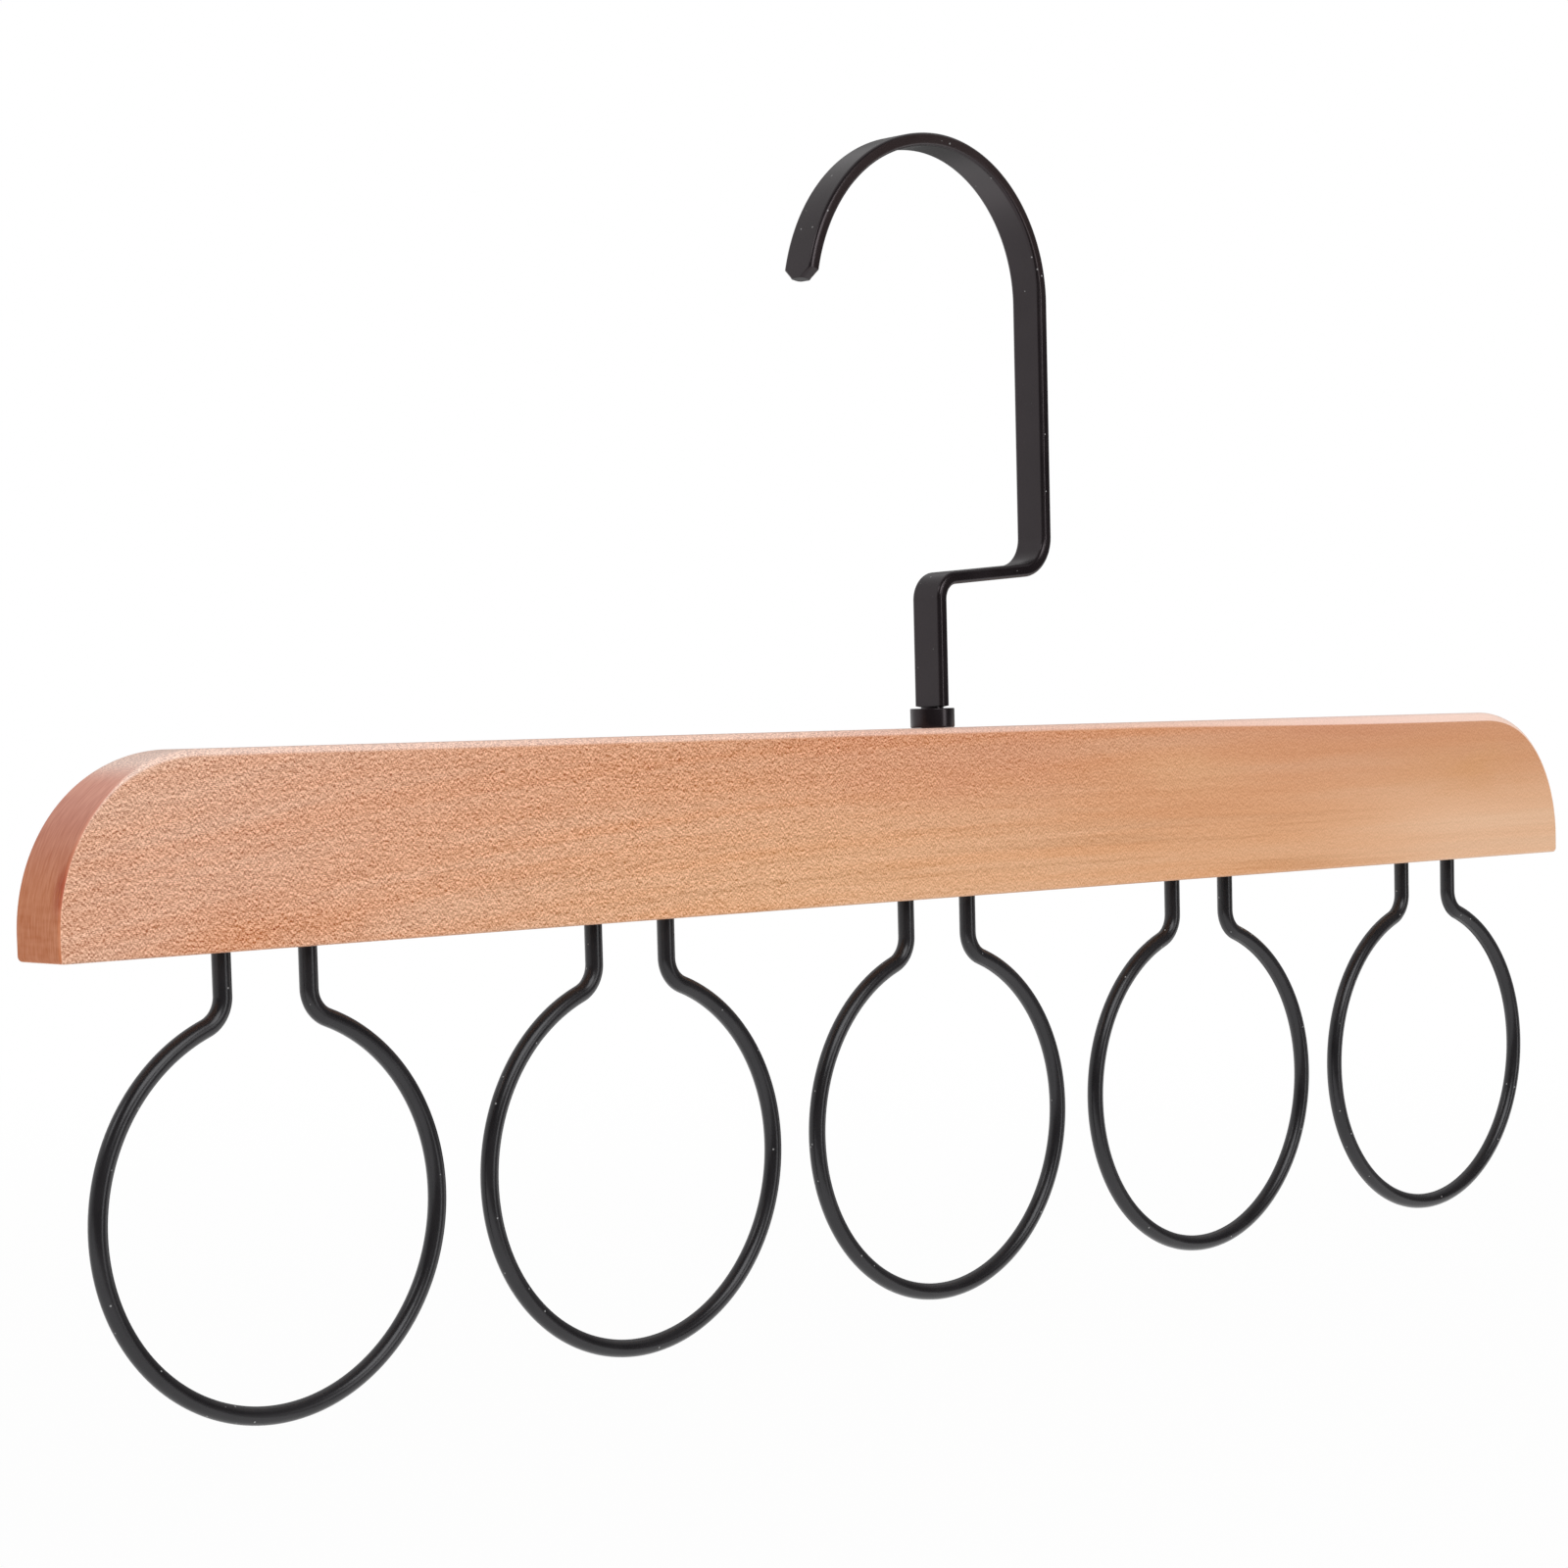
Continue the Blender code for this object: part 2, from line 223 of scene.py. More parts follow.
class Signal:
    """One output socket. Arithmetic on it adds Math nodes."""

    def __init__(self, finish, socket):
        self.finish = finish
        self.socket = socket

    def maths(self, operation, other=None, swapped=False):
        """One Math node on this value, and on another where the operation takes two."""
        pair = (other, self) if swapped else (self, other)
        sockets = {place: value for place, value in enumerate(pair) if value is not None}
        return self.finish.node("Math", {"operation": operation}, sockets)

    def __add__(self, other):
        return self.maths("ADD", other)

    def __sub__(self, other):
        return self.maths("SUBTRACT", other)

    def __rsub__(self, other):
        return self.maths("SUBTRACT", other, swapped=True)

    def __mul__(self, other):
        return self.maths("MULTIPLY", other)

    def __truediv__(self, other):
        return self.maths("DIVIDE", other)

    __radd__ = __add__
    __rmul__ = __mul__

    def smooth(self, low, high):
        """0 at low and 1 at high, with a soft start and end. Low may be the larger."""
        settings = {"interpolation_type": "SMOOTHSTEP"}
        flip = low > high
        ends = (high, low) if flip else (low, high)
        sockets = {"Value": self, "From Min": ends[0], "From Max": ends[1]}
        eased = self.finish.node("MapRange", settings, sockets)
        return 1 - eased if flip else eased

    def near(self, middle, reach):
        """1 at the middle, fading softly to 0 at this reach on either side."""
        return (self - middle).maths("ABSOLUTE").smooth(reach, 0)

    def centred(self):
        """Noise that runs from 0 to 1, shifted to lie round 0."""
        return self - NOISE_MIDDLE


CHART_WHITE = 255
CURVE_OFFSET = 0.055
CURVE_SCALE = 1.055
CURVE_POWER = 2.4


def paint(*chart):
    """A paint chart's red, green and blue, 0 to 255, as the shares of light sent back."""
    shares = [value / CHART_WHITE for value in chart]
    bent = [((share + CURVE_OFFSET) / CURVE_SCALE) ** CURVE_POWER for share in shares]
    return (*bent, 1)


print("paint(213, 160, 126) reflects", [round(part, 3) for part in paint(213, 160, 126)])

# %% [markdown]
# ## The studio
# The photograph was taken in a white studio: the backdrop is pure white, and shadows are so
# soft that they hardly show. A white picture is easily had by pouring light on everything,
# but that washes the wood out. Here the object gets a plain level of light, and the white is
# painted on: rays that come straight from the camera find a bright board and a bright
# backdrop, while the light that falls on the wood is left alone. Close to the hanger the
# board glows a little less, which leaves room for its soft shadow.
#
# The board ends a little in front of the hanger. What polished steel mirrors of it is set by
# itself, because black steel shows little else: bright in front, and behind the hanger bright
# in the middle and to the left but dark to the right.

# %% Floor
WHITE = (1, 1, 1, 1)
FLOOR_DROP = 130 * MM
FLOOR_SIZE = 40.0
FLOOR_FRONT = 0.45
FLOOR_PAINT = paint(244, 243, 241)
GLOW_NEAR = 0.95
GLOW_FADE = (0.5, 2.0)
MIRRORED_FRONT = 1.2
MIRRORED_DARK = 0.15
MIRRORED_LEFT = 0.85
MIRRORED_MIDDLE = 0.4
LEFT_OPENS = (0.78, 0.35)
MIDDLE_REACH = (-0.1, 0.5)
BACK_STARTS = (0.1, 0.3)


def ray_is(finish, *kinds):
    """1 for the rays of these kinds and 0 for all others."""
    found = [finish.node("LightPath", output=f"Is {kind} Ray") for kind in kinds]
    total = sum(found[1:], found[0])
    return total.maths("MINIMUM", 1.0)


def floor_finish():
    """White board that glows towards the camera, more so far away, where no shadow falls."""
    finish = Finish(bpy.data.materials.new("pale_floor"))
    place = finish.place()
    x, y, _ = finish.axes(place)
    far = finish.node("VectorMath", {"operation": "LENGTH"}, {0: place}, "Value")
    glow = GLOW_NEAR + (1 - GLOW_NEAR) * far.smooth(*GLOW_FADE)

    # Sideways is 1 straight to the right of the hanger and -1 straight to its left
    sideways = x / far
    back = MIRRORED_DARK + MIRRORED_LEFT * sideways.smooth(*LEFT_OPENS)
    back = back + MIRRORED_MIDDLE * sideways.near(*MIDDLE_REACH)
    mirrored = MIRRORED_FRONT + (back - MIRRORED_FRONT) * y.smooth(*BACK_STARTS)

    glossy = ray_is(finish, "Glossy")
    board = finish.node("BsdfDiffuse", None, {"Color": FLOOR_PAINT})
    colour = finish.shade(WHITE, 1 - glossy * (1 - mirrored))
    light = finish.node("Emission", None, {"Color": colour, "Strength": 1.0})
    shown = ray_is(finish, "Camera", "Transmission") * glow + glossy
    both = finish.node("MixShader", None, {0: shown, 1: board, 2: light})
    finish.node("OutputMaterial", None, {"Surface": both})
    return finish.owner


floor_mesh = bpy.data.meshes.new("floor")
sides = (-FLOOR_SIZE / 2, FLOOR_SIZE / 2)
corners = [(x, y, 0) for y in (-FLOOR_FRONT, FLOOR_SIZE / 2) for x in sides]
floor_mesh.from_pydata(corners, [], [(0, 1, 3, 2)])
floor = bpy.data.objects.new("floor", floor_mesh)
floor.location.z = cad_bounds[0].z - FLOOR_DROP
bpy.context.scene.collection.objects.link(floor)
floor.data.materials.append(floor_finish())
print("floor at height", round(floor.location.z / MM, 1), "mm")

# %% [markdown]
# ## The room in the reflections
# Black steel has almost no colour of its own, so its shape is drawn by what it mirrors. The
# strip's faces and the round wires each show another part of the studio, and together they
# tell what stood there: a dim room in front and a bright wall behind, a bright upright strip
# in front and to the right, a softbox high on the left, and something dark on the right
# above the table. Only glossy rays find that room here. The wood is lit by an even sky
# instead, so each can be set without the other. Real lamps in those places would do both at
# once, and every change made for the steel would shift the colour of the wood.

# %% World
SKY_LIGHT = 0.70
ROOM_FRONT = 0.08
ROOM_BACK = 0.95
BACK_SLANT = 0.35
BACK_OPENS = (-0.45, 0.35)
CEILING_DARK = 0.3
CEILING_STARTS = (0.3, 0.8)
PANEL_DARK = 0.72
PANEL_X = (0.1, 0.6)
PANEL_FOOT = (-0.05, 0.02)
PANEL_TOP = (0.65, 0.4)
STRIP_GLOSS = 4.2
STRIP_X = (0.35, 0.2)
STRIP_Y = (-0.6, -0.85)
STRIP_Z = (0.05, 0.42)
SOFTBOX_GLOSS = 5.0
SOFTBOX_X = (-0.74, 0.25)
SOFTBOX_Y = (0.1, 0.3)
SOFTBOX_Z = (0.64, 0.2)


def studio_world():
    """White to the camera, even light on the wood, and a room with lamps for reflections."""
    world = bpy.data.worlds.new("studio")
    finish = Finish(world)
    x, y, z = finish.axes(finish.place(output="Generated"))
    room = ROOM_FRONT + (ROOM_BACK - ROOM_FRONT) * (y + BACK_SLANT * x).smooth(*BACK_OPENS)
    room = room * (1 - CEILING_DARK * z.smooth(*CEILING_STARTS))
    panel = PANEL_DARK * x.smooth(*PANEL_X) * z.smooth(*PANEL_FOOT) * z.smooth(*PANEL_TOP)
    room = room * (1 - panel)
    room = room + STRIP_GLOSS * (x.near(*STRIP_X) * y.smooth(*STRIP_Y) * z.near(*STRIP_Z))
    softbox = z.near(*SOFTBOX_Z) * x.near(*SOFTBOX_X) * y.near(*SOFTBOX_Y)
    room = room + (SOFTBOX_GLOSS - room) * softbox
    level = SKY_LIGHT + (room - SKY_LIGHT) * ray_is(finish, "Glossy")
    level = level + (1 - level) * ray_is(finish, "Camera", "Transmission")
    sky = finish.node("Background", None, {"Color": WHITE, "Strength": level})
    finish.node("OutputWorld", None, {"Surface": sky})
    return world


bpy.context.scene.world = studio_world()
print("world:", len(bpy.context.scene.world.node_tree.nodes), "nodes")

# %% [markdown]
# ## The lamps
# An even sky alone would leave the bar looking like flat paint. A softbox in front of the
# hanger and above it is the key: it makes the front a little brighter than the ends. A wide,
# weak one overhead does the same for the top edge. Large softboxes are used because small or
# far lamps would cut hard shadows, and the photograph has none.

# %% Lamps
SOFTBOXES = (
    # Name, place from the middle of the hanger, width and height, power in watts
    ("key_softbox", (-0.2, -1.0, 0.62), (0.8, 0.6), 5.8),
    ("top_softbox", (-0.1, 0.1, 1.3), (1.2, 0.9), 0.4),
)


def soft_lamp(name, place, size, power):
    """A softbox that faces the middle of the hanger."""
    lamp = bpy.data.objects.new(name, bpy.data.lights.new(name, "AREA"))
    bpy.context.scene.collection.objects.link(lamp)
    lamp.data.shape = "RECTANGLE"
    lamp.data.size, lamp.data.size_y = size
    lamp.data.energy = power
    aim = (cad_bounds[0] + cad_bounds[1]) / 2
    lamp.location = aim + Vector(place)
    lamp.rotation_euler = (aim - lamp.location).to_track_quat("-Z", "Y").to_euler()


for softbox in SOFTBOXES:
    soft_lamp(*softbox)
print("lamps:", [light.name for light in bpy.data.lights])

# %% [markdown]
# ## The wood
# The bar is a close-grained hardwood under a thin satin lacquer. Seen close, four things
# make it look like wood. Broad soft bands run along it, pinker and yellower in turn. Fine
# flecks give the left half a pebbled look and fade towards the right. The top edge gets a
# painted highlight: its colour is made paler where it catches the light. And the rounded ends
# cut across the grain, so they drink more finish and turn a redder brown, with fine upright
# streaks. The next cells take these one by one.
#
# A photograph mapped onto the bar would show all that but stretch at the ends. Noise in the
# bar's own space cuts through the piece like real grain, so the front, the edges and the
# ends agree. Tints that the noise can't know about are laid on by place.

# %% Wood colours
TOP_TAN = paint(209, 150, 112)
FOOT_TAN = paint(218, 164, 122)
STRAW = paint(228, 183, 147)
PINK_TAN = paint(209, 158, 129)
ROSE = paint(206, 143, 109)
OLIVE = paint(216, 163, 121)
OCHRE = paint(211, 154, 106)
EMBER = paint(206, 139, 97)
SPECK = paint(150, 92, 66)
END_TOP = paint(220, 159, 140)
END_MIDDLE = paint(200, 132, 111)
END_FOOT = paint(202, 126, 87)
STAIN = paint(176, 84, 56)
CREAM_LIGHT = (0.20, 0.15, 0.115)
BAND_LIGHT = (0.010, 0.045, 0.048)
TOP_PAINTED_HIGHLIGHT = (0.19, 0.23, 0.25)
print("the stain sends back", [round(part, 3) for part in STAIN[:3]])

# %% [markdown]
# ## Where the wood changes
# Each change is a soft edge or a soft spot, so two numbers place it: for an edge, where it is
# none and where it is full, and for a spot, its middle and its reach. Names that end in `_X`
# run along the bar, in metres from the swivel. Names that end in `_UP` run up the bar from 0
# to 1, and names that end in `_FACING` go by how far a surface faces a way, also 0 to 1.
# Measured places are used, because a tint in the right spot does more for likeness than a
# better noise.

# %% Places and sizes of the figure
TOP_TAN_UP = (0.05, 1.0)
PINK_X = (-0.03, -0.19)
STRAW_X = (0.09, 0.17)
STRAW_UP = (0.75, 0.2)

GRAIN_LEVEL_X = 0.01
GRAIN_CLIMB = 0.019
BAND_SIZE = (0.090, 0.02, 0.0040)
BAND_EDGE = (0.32, 0.68)
BAND_CALM = 0.35
BAND_CALM_X = (0.03, 0.12)

ROSE_MIDDLE_X = (-0.005, 0.06)
ROSE_MIDDLE_UP = (0.45, 0.8)
ROSE_RIGHT_X = (0.12, 0.07)
ROSE_RIGHT_UP = (0.75, 1.0)
OLIVE_X = (0.068, 0.035)
OLIVE_UP = (0.68, 0.25)
OCHRE_X = (0.165, 0.04)
OCHRE_UP = (0.65, 0.3)
EMBER_X = (-0.158, 0.035)
EMBER_UP = (0.28, 0.05)
BLOTCH_SIZE = (0.016, 0.01, 0.0050)
BLOTCH_EDGE = (0.3, 0.65)
TINT_EVEN = 0.35
TINT_BLOTCHED = 0.45

LINE_SIZE = (0.060, 0.004, 0.0011)
LINE_EDGE = (0.5, 0.62)
LINE_CONTRAST = 0.28
LINES_ABOVE = 0.35
LINES_BELOW = 0.65
LINES_BELOW_UP = (0.5, 0.25)
LINES_START_X = (-0.15, -0.05)
LINES_FADE = 0.6
LINES_FADE_X = (0.1, 0.16)


def wood_figure(finish, colour, x, height, grain):
    """The broad bands, lines and tinted places that lie along the grain."""
    bands = finish.noise(BAND_SIZE, at=grain, detail=3.0).smooth(*BAND_EDGE)
    banded = 1 - BAND_CALM * x.smooth(*BAND_CALM_X)
    colour = finish.tint(colour, BAND_LIGHT, banded * bands.centred())

    rose = x.near(*ROSE_MIDDLE_X) * height.smooth(*ROSE_MIDDLE_UP)
    rose = rose + x.near(*ROSE_RIGHT_X) * height.smooth(*ROSE_RIGHT_UP)
    olive = x.near(*OLIVE_X) * height.near(*OLIVE_UP)
    ochre = x.near(*OCHRE_X) * height.near(*OCHRE_UP)
    ember = x.near(*EMBER_X) * height.smooth(*EMBER_UP)
    blotch = finish.noise(BLOTCH_SIZE, at=grain, detail=2.0).smooth(*BLOTCH_EDGE)
    for share, stain in ((rose, ROSE), (olive, OLIVE), (ochre, OCHRE), (ember, EMBER)):
        colour = finish.blend(share * (TINT_EVEN + TINT_BLOTCHED * blotch), colour, stain)

    lines = finish.noise(LINE_SIZE, at=grain, detail=1.0)
    lined = LINES_ABOVE + LINES_BELOW * height.smooth(*LINES_BELOW_UP)
    lined = lined * x.smooth(*LINES_START_X) * (1 - LINES_FADE * x.smooth(*LINES_FADE_X))
    darker = -LINE_CONTRAST * lined * lines.smooth(*LINE_EDGE)
    return finish.tint(colour, CREAM_LIGHT, darker), lines


print("the soft bands are about", round(BAND_SIZE[0] / MM), "mm long")

# %% [markdown]
# ## Flecks
# The pebbled look comes from small pale flecks, each about a third of a millimetre long and
# half as high, with a darker shadow a little below it. Ellipses could be scattered one by
# one, but noise squeezed to their size is simpler and never repeats. The same noise read a
# little higher up, and partly taken away, gives every fleck its shadow for the cost of one
# more node.

# %% Flecks and specks
FLECK_SIZE = (0.00031, 0.00042, 0.00016)
FLECK_SLANT = (0, math.radians(10), 0)
FLECK_CONTRAST = 5.0
SHADOW_DROP = 0.00042
SHADOW_SHARE = 0.4
FLECK_X = (0.055, -0.115)
FLECK_FOOT_SHIFT = 0.05
FLECK_EVERYWHERE = 0.2
FLECK_WIDE = 0.2
FLECK_WIDE_X = (0.15, 0.03)
FLECK_LEFT = 0.6
FIGURE_SIZE = (0.011, 0.006, 0.0024)
FIGURE_SLANT = (0, math.radians(-20), 0)
FIGURE_X = (-0.05, -0.15)
FIGURE_CONTRAST = 0.5
SPECK_SPACING = 0.004
SPECK_RADIUS = 0.05
SPECK_KEPT = 0.02
SPECK_SHARE = 0.6


def wood_flecks(finish, colour, x, y, z, height):
    """Flecks with their shadows, a slanting figure on the left, and a few dark specks."""
    figure = finish.noise(FIGURE_SIZE, FIGURE_SLANT, detail=2.0)
    above = finish.node("CombineXYZ", None, {"X": x, "Y": y, "Z": z + SHADOW_DROP})
    flecks = finish.noise(FLECK_SIZE, FLECK_SLANT, detail=0.0)
    shadow = finish.noise(FLECK_SIZE, FLECK_SLANT, above, detail=0.0)
    flecks = flecks - SHADOW_SHARE * shadow.centred()
    left = (x - FLECK_FOOT_SHIFT * height).smooth(*FLECK_X)
    mask = FLECK_EVERYWHERE + FLECK_WIDE * x.smooth(*FLECK_WIDE_X) + FLECK_LEFT * left
    colour = finish.tint(colour, CREAM_LIGHT, FLECK_CONTRAST * mask * flecks.centred())
    slanted = x.smooth(*FIGURE_X) * figure.centred()
    colour = finish.tint(colour, CREAM_LIGHT, FIGURE_CONTRAST * slanted)
    specks = finish.specks(SPECK_SPACING, SPECK_RADIUS, SPECK_KEPT)
    return finish.blend(SPECK_SHARE * specks, colour, SPECK), flecks * mask


print("flecks:", [round(size / MM, 2) for size in FLECK_SIZE], "mm")

# %% [markdown]
# ## End grain
# Where the bar's ends round off, the saw has cut through the ends of the fibres. They soak up
# stain and lacquer, so the colour is darker and redder, and the fibres show as fine upright
# streaks. A second material would leave a hard line where the two meet. One material that
# turns from one look to the other as the surface turns keeps that border soft.

# %% End grain
STREAK_SIZE = (0.004, 0.00045, 0.003)
STREAK_CONTRAST = 1.5
END_BAR_SIZE = (0.004, 0.006, 0.0012)
END_BAR_CONTRAST = 0.9
END_BAR_UP = (0.5, 0.1)
END_MIDDLE_UP = (0.28, 0.75)
END_TOP_UP = (0.6, 0.95)
STAIN_UP = (0.36, 0.2)
STAIN_FRONT = (-0.003, -0.006)
STAIN_EDGE = (0.25, 0.45)


def end_grain(finish, height, y):
    """The darker, redder wood where the ends cut across the grain."""
    streaks = finish.noise(STREAK_SIZE, detail=3.0)
    bars = finish.noise(END_BAR_SIZE, detail=1.0)
    brown = finish.blend(height.smooth(*END_MIDDLE_UP), END_FOOT, END_MIDDLE)
    brown = finish.blend(height.smooth(*END_TOP_UP), brown, END_TOP)
    stain = height.near(*STAIN_UP) * y.smooth(*STAIN_FRONT)
    brown = finish.blend(stain * streaks.smooth(*STAIN_EDGE), brown, STAIN)
    brown = finish.tint(brown, CREAM_LIGHT, STREAK_CONTRAST * streaks.centred())
    barred = END_BAR_CONTRAST * height.smooth(*END_BAR_UP)
    return finish.tint(brown, CREAM_LIGHT, barred * bars.centred()), streaks


print("end streaks are", round(STREAK_SIZE[1] / MM, 2), "mm apart")

# %% [markdown]
# ## The whole bar
# The layers go on in the order in which the eye finds them: first the slow change of colour
# along and up the bar, then the figure, the flecks, the painted highlight on the top edge, and
# the ends last, as they cover all the rest. The painted highlight is a pale line on the top edge
# that grows wider and paler towards the right end, as it does in the photograph. The lacquer is
# smooth on the flat faces and dull on the ends, so roughness and relief follow the same masks as
# the colour.

# %% Bar wood
END_FACING = (0.35, 0.6)
TOP_HIGHLIGHT_FACING = (0.3, 0.6)
TOP_HIGHLIGHT_WIDER_X = (0.05, 0.16)
TOP_HIGHLIGHT_WIDER = 0.3
TOP_HIGHLIGHT_PALER_X = (0.02, 0.16)
TOP_HIGHLIGHT_PALER = 0.6
END_RIM_HIGHLIGHT_FACING = (0.4, 0.25)
END_RIM_HIGHLIGHT_UP = (0.9, 0.6)
END_RIM_PAINTED_HIGHLIGHT = 0.6
WOOD_ROUGHNESS = 0.36
LINE_ROUGHNESS = 0.08
END_ROUGHNESS = 0.4
RELIEF_DEPTH = 0.00002


def bar_wood():
    """The bar's whole finish: front, edges and ends."""
    finish = Finish(bpy.data.materials.new("bar_wood"))
    x, y, z = finish.axes(finish.place())
    height = (z - bar_low.z) / bar_height

    # The grain climbs from the left end and levels out near the middle
    bent = ((x - GRAIN_LEVEL_X) / (bar_low.x - GRAIN_LEVEL_X)).maths("MAXIMUM", 0.0)
    lifted = z + GRAIN_CLIMB * bent * bent
    grain = finish.node("CombineXYZ", None, {"X": x, "Y": y, "Z": lifted})

    # Redder at the top, yellower at the foot, pinker at the left end and straw at the right
    colour = finish.blend(height.smooth(*TOP_TAN_UP), FOOT_TAN, TOP_TAN)
    colour = finish.blend(x.smooth(*PINK_X), colour, PINK_TAN)
    colour = finish.blend(x.smooth(*STRAW_X) * height.smooth(*STRAW_UP), colour, STRAW)
    colour, lines = wood_figure(finish, colour, x, height, grain)
    colour, pebbles = wood_flecks(finish, colour, x, y, z, height)

    # The painted highlight on the top edge, then the ends and a thin painted highlight on their
    # rims
    normal_x, _, normal_z = finish.axes(finish.place(output="Normal"))
    # Painted highlight: the top edge's colour is made paler where it faces up, wider and paler
    # towards the right end
    wider = x.smooth(*TOP_HIGHLIGHT_WIDER_X)
    painted_top_highlight = (normal_z * (1 + wider) + TOP_HIGHLIGHT_WIDER * wider).smooth(*TOP_HIGHLIGHT_FACING)
    paler = 1 + TOP_HIGHLIGHT_PALER * x.smooth(*TOP_HIGHLIGHT_PALER_X)
    colour = finish.tint(colour, TOP_PAINTED_HIGHLIGHT, painted_top_highlight * paler)
    sideways = normal_x.maths("ABSOLUTE")
    end = sideways.smooth(*END_FACING)
    brown, streaks = end_grain(finish, height, y)
    colour = finish.blend(end, colour, brown)
    # Painted highlight: a thin pale line on the rounded rims where the ends meet the faces,
    # fading out near the top
    painted_rim_highlight = END_RIM_PAINTED_HIGHLIGHT * sideways.near(*END_RIM_HIGHLIGHT_FACING) * height.smooth(*END_RIM_HIGHLIGHT_UP)
    colour = finish.tint(colour, CREAM_LIGHT, painted_rim_highlight)

    roughness = WOOD_ROUGHNESS + LINE_ROUGHNESS * lines.centred() + END_ROUGHNESS * end
    relief = pebbles * (1 - end) + streaks * end
    return finish.principled(
        {
            "Base Color": colour,
            "Roughness": roughness,
            "Normal": finish.bump(relief, RELIEF_DEPTH),
        }
    )


wood = bar_wood()
print("bar wood:", len(wood.node_tree.nodes), "nodes")

# %% [markdown]
# ## The black coat
# Hook, collar and rings are steel with a satin black powder coat. Powder flows a little as it
# bakes, which leaves the faint orange-peel surface that breaks up reflections, and it always
# catches some dust. Its black is not nought: a coat that sends back nothing would look like a
# hole. The rings' coat is a little paler and cooler than the strip's. The strip's narrow faces
# carry a painted sheen round the crown, where the hook rides on its rail: their colour is made
# lighter and warmer there. One recipe makes both coats, with the colours that differ handed in,
# so that they still look like one batch.

# %% Black coat
COAT_BLACK = paint(22, 17, 19)
COAT_GREY = paint(28, 23, 25)
WIRE_BLACK = paint(28, 26, 28)
WIRE_GREY = paint(35, 33, 35)
STRIP_SHEEN = (1, 0.88, 0.93, 1)
WIRE_SHEEN = (0.96, 0.97, 1, 1)
NARROW_PAINTED_SHEEN = (0.016, 0.011, 0.010)
NARROW_SHEEN_HEIGHT = (-0.04, -0.004)
NARROW_SHEEN_FACING = (0.75, 0.95)
DUST = paint(150, 150, 150)
DUST_SPACING = 0.0011
DUST_RADIUS = 0.2
DUST_KEPT = 0.06
CLOUD_SIZE = (0.009, 0.009, 0.009)
CLOUD_EDGE = (0.3, 0.7)
PEEL_SIZE = (0.0005, 0.0005, 0.0005)
PEEL_DEPTH = 0.0000015
COAT_ROUGHNESS = 0.25
CLOUD_ROUGHNESS = 0.08
DUST_ROUGHNESS = 0.3
COAT_GLOSS = 0.42


def black_coat(name, sheen, black, grey):
    """Satin black powder coat between two near blacks, whose gloss has this colour."""
    finish = Finish(bpy.data.materials.new(name))
    clouds = finish.noise(CLOUD_SIZE, detail=3.0)
    peel = finish.noise(PEEL_SIZE, detail=1.0)
    dust = finish.specks(DUST_SPACING, DUST_RADIUS, DUST_KEPT)
    _, _, height = finish.axes(finish.place())
    _, normal_y, _ = finish.axes(finish.place(output="Normal"))
    narrow = normal_y.maths("ABSOLUTE").smooth(*NARROW_SHEEN_FACING)
    colour = finish.blend(clouds.smooth(*CLOUD_EDGE), black, grey)
    # Painted sheen: the narrow faces near the top of the crown are tinted lighter and warmer
    colour = finish.tint(colour, NARROW_PAINTED_SHEEN, narrow * height.smooth(*NARROW_SHEEN_HEIGHT))
    roughness = COAT_ROUGHNESS + CLOUD_ROUGHNESS * clouds.centred() + DUST_ROUGHNESS * dust
    return finish.principled(
        {
            "Base Color": finish.blend(dust, colour, DUST),
            "Roughness": roughness,
            "Specular IOR Level": COAT_GLOSS,
            "Specular Tint": sheen,
            "Normal": finish.bump(peel, PEEL_DEPTH),
        }
    )


coat = black_coat("strip_coat", STRIP_SHEEN, COAT_BLACK, COAT_GREY)
wire_coat = black_coat("wire_coat", WIRE_SHEEN, WIRE_BLACK, WIRE_GREY)
print("each black coat:", len(coat.node_tree.nodes), "nodes")

# %% [markdown]
# ## Lofting
# Bar, hook and rings are all one outline carried along a route: the bar's side view through
# its thickness, the hook's flattened section round its bends, the ring's round section round
# its loop. So one helper joins loops of points into quads, and each piece only has to say
# where its loops lie. Bevelled curves could do the rings, but not a section that changes from
# round to flat, as the hook's does.

# %% Loft and join
def loft(name, loops, closed=False):
    """A mesh with quads between loops of equal count, and a cap at each open end."""
    count = len(loops[0])
    points = [point for loop in loops for point in loop]
    spans = len(loops) if closed else len(loops) - 1
    faces = []
    for span in range(spans):
        near = span * count
        far = (span + 1) % len(loops) * count
        for i in range(count):
            j = (i + 1) % count
            faces.append((near + i, near + j, far + j, far + i))
    if not closed:
        faces.append(tuple(range(count)))
        faces.append(tuple(range(spans * count, (spans + 1) * count)))
    mesh = bpy.data.meshes.new(name)
    mesh.from_pydata(points, [], faces)
    work = bmesh.new()
    work.from_mesh(mesh)
    bmesh.ops.recalc_face_normals(work, faces=work.faces)
    work.to_mesh(mesh)
    work.free()
    return mesh


def arc(centre, radius, start, end, steps):
    """Points round an arc in an upright plane, both ends included."""
    turn = (end - start) / steps
    angles = [start + turn * step for step in range(steps + 1)]
    return [(centre[0] + radius * math.cos(a), centre[1] + radius * math.sin(a)) for a in angles]


SHARP = math.radians(38)


def add_piece(name, mesh, finish, body, slot, *nodes):
    """Puts a piece in the scene, smooth but for sharp corners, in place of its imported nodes."""
    piece = bpy.data.objects.new(name, mesh)
    bpy.context.scene.collection.objects.link(piece)
    mesh.materials.append(finish)
    mesh.shade_smooth()
    mesh.set_sharp_from_angle(angle=SHARP)
    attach(piece, body)
    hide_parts(*nodes)
    print(name, "has", len(mesh.polygons), "faces")
    return piece


